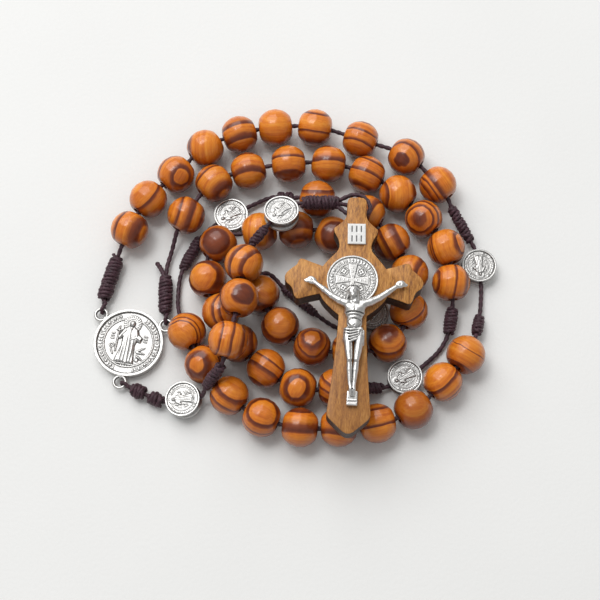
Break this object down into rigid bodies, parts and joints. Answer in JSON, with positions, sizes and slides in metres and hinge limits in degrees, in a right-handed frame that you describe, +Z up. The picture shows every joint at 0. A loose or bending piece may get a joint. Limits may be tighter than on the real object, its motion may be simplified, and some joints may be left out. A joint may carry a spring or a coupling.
{
  "type": "rosary",
  "caption": "Wooden bead rosary on knotted cord with small round medals, a centre medal and a flat wooden crucifix on a pendant strand, laid down in a spiral.",
  "frame": {"origin": "middle of the outline on the table that the rosary lies on", "axes": "+X across the longer side of the laid-down loop, +Y from the crucifix's foot to its head, +Z up from the table"},
  "size_m": [0.1032, 0.0908, 0.0194],
  "materials": {
    "bead_wood": "gloss varnish, growth rings in dark red brown",
    "cord": "waxed twisted cord, dull sheen",
    "silver": "antiqued bright casting, dark in the recesses",
    "cross_wood": "satin, sides scorched dark by the cutter",
    "plaque": "white enamel"
  },
  "bodies": {
    "loop": {"loop_cord": "cord", "loop_knots": "cord", "centre_medal": "silver", "pinned_beads": "bead_wood"},
    "pendant": {"pendant_cord": "cord", "pendant_knots": "cord"},
    "crucifix": {"cross": "cross_wood", "cross_medal": "silver", "title_plaque": "plaque", "corpus": "silver"},
    "small_medal_1": {"small_medal_1": "silver"},
    "small_medal_2": {"small_medal_2": "silver"},
    "small_medal_3": {"small_medal_3": "silver"},
    "small_medal_4": {"small_medal_4": "silver"},
    "small_medal_5": {"small_medal_5": "silver"},
    "small_medal_6": {"small_medal_6": "silver"},
    "bead_1_1": {"bead_1_1": "bead_wood"},
    "bead_1_2": {"bead_1_2": "bead_wood"},
    "bead_1_3": {"bead_1_3": "bead_wood"},
    "bead_1_4": {"bead_1_4": "bead_wood"},
    "bead_1_5": {"bead_1_5": "bead_wood"},
    "bead_1_6": {"bead_1_6": "bead_wood"},
    "bead_1_7": {"bead_1_7": "bead_wood"},
    "bead_1_8": {"bead_1_8": "bead_wood"},
    "bead_1_9": {"bead_1_9": "bead_wood"},
    "bead_1_10": {"bead_1_10": "bead_wood"},
    "bead_2_1": {"bead_2_1": "bead_wood"},
    "bead_2_2": {"bead_2_2": "bead_wood"},
    "bead_2_3": {"bead_2_3": "bead_wood"},
    "bead_2_4": {"bead_2_4": "bead_wood"},
    "bead_2_6": {"bead_2_6": "bead_wood"},
    "bead_2_7": {"bead_2_7": "bead_wood"},
    "bead_2_8": {"bead_2_8": "bead_wood"},
    "bead_2_9": {"bead_2_9": "bead_wood"},
    "bead_2_10": {"bead_2_10": "bead_wood"},
    "bead_3_1": {"bead_3_1": "bead_wood"},
    "bead_3_3": {"bead_3_3": "bead_wood"},
    "bead_3_4": {"bead_3_4": "bead_wood"},
    "bead_3_6": {"bead_3_6": "bead_wood"},
    "bead_3_8": {"bead_3_8": "bead_wood"},
    "bead_3_9": {"bead_3_9": "bead_wood"},
    "bead_4_3": {"bead_4_3": "bead_wood"},
    "bead_4_4": {"bead_4_4": "bead_wood"},
    "bead_4_5": {"bead_4_5": "bead_wood"},
    "bead_4_6": {"bead_4_6": "bead_wood"},
    "bead_4_8": {"bead_4_8": "bead_wood"},
    "bead_4_9": {"bead_4_9": "bead_wood"},
    "bead_5_1": {"bead_5_1": "bead_wood"},
    "bead_5_2": {"bead_5_2": "bead_wood"},
    "bead_5_3": {"bead_5_3": "bead_wood"},
    "bead_5_4": {"bead_5_4": "bead_wood"},
    "bead_5_5": {"bead_5_5": "bead_wood"},
    "bead_5_6": {"bead_5_6": "bead_wood"},
    "bead_5_7": {"bead_5_7": "bead_wood"},
    "bead_5_8": {"bead_5_8": "bead_wood"},
    "bead_5_9": {"bead_5_9": "bead_wood"},
    "bead_5_10": {"bead_5_10": "bead_wood"},
    "pendant_bead_1": {"pendant_bead_1": "bead_wood"},
    "pendant_bead_2": {"pendant_bead_2": "bead_wood"},
    "pendant_bead_3": {"pendant_bead_3": "bead_wood"}
  },
  "joints": [
    {"name": "pendant_lift", "type": "hinge", "parent": "loop", "child": "pendant", "pos_m": [-0.04346, -0.0289, 0.0017], "axis": [-0.4384, -0.8988, 0], "range_deg": [0, 90]},
    {"name": "crucifix_swing", "type": "hinge", "parent": "pendant", "child": "crucifix", "pos_m": [0.01476, 0.01238, 0.01295], "axis": [-0.9986, 0.0523, 0], "range_deg": [0, 80]},
    {"name": "small_medal_1_spin", "type": "hinge", "parent": "loop", "child": "small_medal_1", "pos_m": [0.0467, 0.0024, 0.0016], "axis": [0.1045, -0.9945, 0], "continuous": true},
    {"name": "small_medal_2_spin", "type": "hinge", "parent": "loop", "child": "small_medal_2", "pos_m": [-0.0175, 0.0165, 0.0016], "axis": [0.8572, 0.515, 0], "continuous": true},
    {"name": "small_medal_3_spin", "type": "hinge", "parent": "loop", "child": "small_medal_3", "pos_m": [0.0188, -0.0102, 0.0016], "axis": [0.6428, 0.766, 0], "continuous": true},
    {"name": "small_medal_4_spin", "type": "hinge", "parent": "loop", "child": "small_medal_4", "pos_m": [0.0268, -0.0271, 0.0016], "axis": [0.866, 0.5, 0], "continuous": true},
    {"name": "small_medal_5_spin", "type": "hinge", "parent": "pendant", "child": "small_medal_5", "pos_m": [-0.0285, -0.033, 0.0024], "axis": [0.9811, 0.0858, 0.1736], "continuous": true},
    {"name": "small_medal_6_spin", "type": "hinge", "parent": "pendant", "child": "small_medal_6", "pos_m": [-0.0042, 0.0133, 0.0117], "axis": [0.7202, 0.6716, -0.1736], "range_deg": [-20, 8]},
    {"name": "bead_1_1_spin", "type": "hinge", "parent": "loop", "child": "bead_1_1", "pos_m": [-0.0435, 0.0115, 0.0049], "axis": [0.4467, 0.8816, 0.1528], "continuous": true},
    {"name": "bead_1_2_spin", "type": "hinge", "parent": "loop", "child": "bead_1_2", "pos_m": [-0.039, 0.02, 0.0049], "axis": [0.5958, 0.8031, 0], "continuous": true},
    {"name": "bead_1_3_spin", "type": "hinge", "parent": "loop", "child": "bead_1_3", "pos_m": [-0.032, 0.027, 0.0049], "axis": [0.7071, 0.7071, 0], "continuous": true},
    {"name": "bead_1_4_spin", "type": "hinge", "parent": "loop", "child": "bead_1_4", "pos_m": [-0.0245, 0.0345, 0.0049], "axis": [0.8204, 0.5718, 0], "continuous": true},
    {"name": "bead_1_5_spin", "type": "hinge", "parent": "loop", "child": "bead_1_5", "pos_m": [-0.0155, 0.0385, 0.0049], "axis": [0.9512, 0.3085, 0], "continuous": true},
    {"name": "bead_1_6_spin", "type": "hinge", "parent": "loop", "child": "bead_1_6", "pos_m": [-0.006, 0.0405, 0.0049], "axis": [0.995, 0.0995, 0], "continuous": true},
    {"name": "bead_1_7_spin", "type": "hinge", "parent": "loop", "child": "bead_1_7", "pos_m": [0.0045, 0.0405, 0.0049], "axis": [0.9881, -0.1537, 0], "continuous": true},
    {"name": "bead_1_8_spin", "type": "hinge", "parent": "loop", "child": "bead_1_8", "pos_m": [0.0165, 0.037, 0.0049], "axis": [0.9426, -0.3338, 0], "continuous": true},
    {"name": "bead_1_9_spin", "type": "hinge", "parent": "loop", "child": "bead_1_9", "pos_m": [0.0285, 0.032, 0.0049], "axis": [0.8384, -0.545, 0], "continuous": true},
    {"name": "bead_1_10_spin", "type": "hinge", "parent": "loop", "child": "bead_1_10", "pos_m": [0.0365, 0.024, 0.0049], "axis": [0.6346, -0.7718, -0.04], "continuous": true},
    {"name": "bead_2_1_spin", "type": "hinge", "parent": "loop", "child": "bead_2_1", "pos_m": [0.042, -0.022, 0.0049], "axis": [-0.5808, -0.8066, 0.1097], "continuous": true},
    {"name": "bead_2_2_spin", "type": "hinge", "parent": "loop", "child": "bead_2_2", "pos_m": [0.036, -0.029, 0.0049], "axis": [-0.6941, -0.7198, 0], "continuous": true},
    {"name": "bead_2_3_spin", "type": "hinge", "parent": "loop", "child": "bead_2_3", "pos_m": [0.0285, -0.036, 0.0049], "axis": [-0.8437, -0.5369, 0], "continuous": true},
    {"name": "bead_2_4_spin", "type": "hinge", "parent": "loop", "child": "bead_2_4", "pos_m": [0.0195, -0.0395, 0.0049], "axis": [-0.9717, -0.2364, 0], "continuous": true},
    {"name": "bead_2_6_spin", "type": "hinge", "parent": "loop", "child": "bead_2_6", "pos_m": [0.0005, -0.0405, 0.0049], "axis": [-0.9915, 0.1305, 0], "continuous": true},
    {"name": "bead_2_7_spin", "type": "hinge", "parent": "loop", "child": "bead_2_7", "pos_m": [-0.009, -0.038, 0.0049], "axis": [-0.9095, 0.4158, 0], "continuous": true},
    {"name": "bead_2_8_spin", "type": "hinge", "parent": "loop", "child": "bead_2_8", "pos_m": [-0.017, -0.0325, 0.0049], "axis": [-0.7319, 0.6814, 0], "continuous": true},
    {"name": "bead_2_9_spin", "type": "hinge", "parent": "loop", "child": "bead_2_9", "pos_m": [-0.0235, -0.0245, 0.0049], "axis": [-0.5547, 0.8321, 0], "continuous": true},
    {"name": "bead_2_10_spin", "type": "hinge", "parent": "loop", "child": "bead_2_10", "pos_m": [-0.028, -0.016, 0.0049], "axis": [-0.4189, 0.8976, -0.1376], "continuous": true},
    {"name": "bead_3_1_spin", "type": "hinge", "parent": "loop", "child": "bead_3_1", "pos_m": [0.005, 0.02, 0.0049], "axis": [0.9641, -0.254, 0.0777], "continuous": true},
    {"name": "bead_3_3_spin", "type": "hinge", "parent": "loop", "child": "bead_3_3", "pos_m": [0.024, 0.008, 0.0049], "axis": [0.5464, -0.8375, 0], "continuous": true},
    {"name": "bead_3_4_spin", "type": "hinge", "parent": "loop", "child": "bead_3_4", "pos_m": [0.0285, -0.0005, 0.0049], "axis": [0.2113, -0.9774, 0], "continuous": true},
    {"name": "bead_3_6_spin", "type": "hinge", "parent": "loop", "child": "bead_3_6", "pos_m": [0.0225, -0.019, 0.0049], "axis": [-0.8192, -0.5735, 0], "continuous": true},
    {"name": "bead_3_8_spin", "type": "hinge", "parent": "loop", "child": "bead_3_8", "pos_m": [0.0035, -0.02, 0.0049], "axis": [-0.9374, 0.3482, 0], "continuous": true},
    {"name": "bead_3_9_spin", "type": "hinge", "parent": "loop", "child": "bead_3_9", "pos_m": [-0.0045, -0.0145, 0.0049], "axis": [-0.6805, 0.7328, 0], "continuous": true},
    {"name": "bead_4_3_spin", "type": "hinge", "parent": "loop", "child": "bead_4_3", "pos_m": [-0.01, 0.011, 0.0049], "axis": [-0.9806, -0.1961, 0], "continuous": true},
    {"name": "bead_4_4_spin", "type": "hinge", "parent": "loop", "child": "bead_4_4", "pos_m": [-0.0205, 0.0075, 0.0049], "axis": [-0.7071, -0.7071, 0], "continuous": true},
    {"name": "bead_4_5_spin", "type": "hinge", "parent": "loop", "child": "bead_4_5", "pos_m": [-0.023, -0.002, 0.0049], "axis": [0.0546, -0.9985, 0], "continuous": true},
    {"name": "bead_4_6_spin", "type": "hinge", "parent": "loop", "child": "bead_4_6", "pos_m": [-0.0195, -0.0108, 0.0049], "axis": [0.4258, -0.9048, 0], "continuous": true},
    {"name": "bead_4_8_spin", "type": "hinge", "parent": "loop", "child": "bead_4_8", "pos_m": [-0.008, -0.0255, 0.0049], "axis": [0.7936, -0.6084, 0], "continuous": true},
    {"name": "bead_4_9_spin", "type": "hinge", "parent": "loop", "child": "bead_4_9", "pos_m": [0, -0.0305, 0.0049], "axis": [0.9615, -0.2747, 0], "continuous": true},
    {"name": "bead_5_1_spin", "type": "hinge", "parent": "loop", "child": "bead_5_1", "pos_m": [0.039, -0.003, 0.0049], "axis": [-0.0907, 0.9911, 0.0972], "continuous": true},
    {"name": "bead_5_2_spin", "type": "hinge", "parent": "loop", "child": "bead_5_2", "pos_m": [0.038, 0.0065, 0.0049], "axis": [-0.3482, 0.9374, 0], "continuous": true},
    {"name": "bead_5_3_spin", "type": "hinge", "parent": "loop", "child": "bead_5_3", "pos_m": [0.0325, 0.0145, 0.0049], "axis": [-0.6247, 0.7809, 0], "continuous": true},
    {"name": "bead_5_4_spin", "type": "hinge", "parent": "loop", "child": "bead_5_4", "pos_m": [0.026, 0.0215, 0.0049], "axis": [-0.7574, 0.6529, 0], "continuous": true},
    {"name": "bead_5_5_spin", "type": "hinge", "parent": "loop", "child": "bead_5_5", "pos_m": [0.018, 0.027, 0.0049], "axis": [-0.9042, 0.427, 0], "continuous": true},
    {"name": "bead_5_6_spin", "type": "hinge", "parent": "loop", "child": "bead_5_6", "pos_m": [0.008, 0.03, 0.0049], "axis": [-0.9895, 0.1448, 0], "continuous": true},
    {"name": "bead_5_7_spin", "type": "hinge", "parent": "loop", "child": "bead_5_7", "pos_m": [-0.0025, 0.03, 0.0049], "axis": [-0.9955, -0.0948, 0], "continuous": true},
    {"name": "bead_5_8_spin", "type": "hinge", "parent": "loop", "child": "bead_5_8", "pos_m": [-0.013, 0.028, 0.0049], "axis": [-0.9624, -0.2715, 0], "continuous": true},
    {"name": "bead_5_9_spin", "type": "hinge", "parent": "loop", "child": "bead_5_9", "pos_m": [-0.022, 0.0245, 0.0049], "axis": [-0.788, -0.6156, 0], "continuous": true},
    {"name": "bead_5_10_spin", "type": "hinge", "parent": "loop", "child": "bead_5_10", "pos_m": [-0.029, 0.0155, 0.0049], "axis": [-0.551, -0.8265, -0.1157], "continuous": true},
    {"name": "pendant_bead_1_spin", "type": "hinge", "parent": "pendant", "child": "pendant_bead_1", "pos_m": [-0.017, -0.021, 0.0145], "axis": [0.2228, 0.9731, 0.0586], "continuous": true},
    {"name": "pendant_bead_2_spin", "type": "hinge", "parent": "pendant", "child": "pendant_bead_2", "pos_m": [-0.0145, -0.01, 0.014], "axis": [0.1675, 0.9812, -0.0957], "continuous": true},
    {"name": "pendant_bead_3_spin", "type": "hinge", "parent": "pendant", "child": "pendant_bead_3", "pos_m": [-0.0135, -0.0005, 0.0125], "axis": [0.1669, 0.975, -0.1469], "continuous": true}
  ]
}
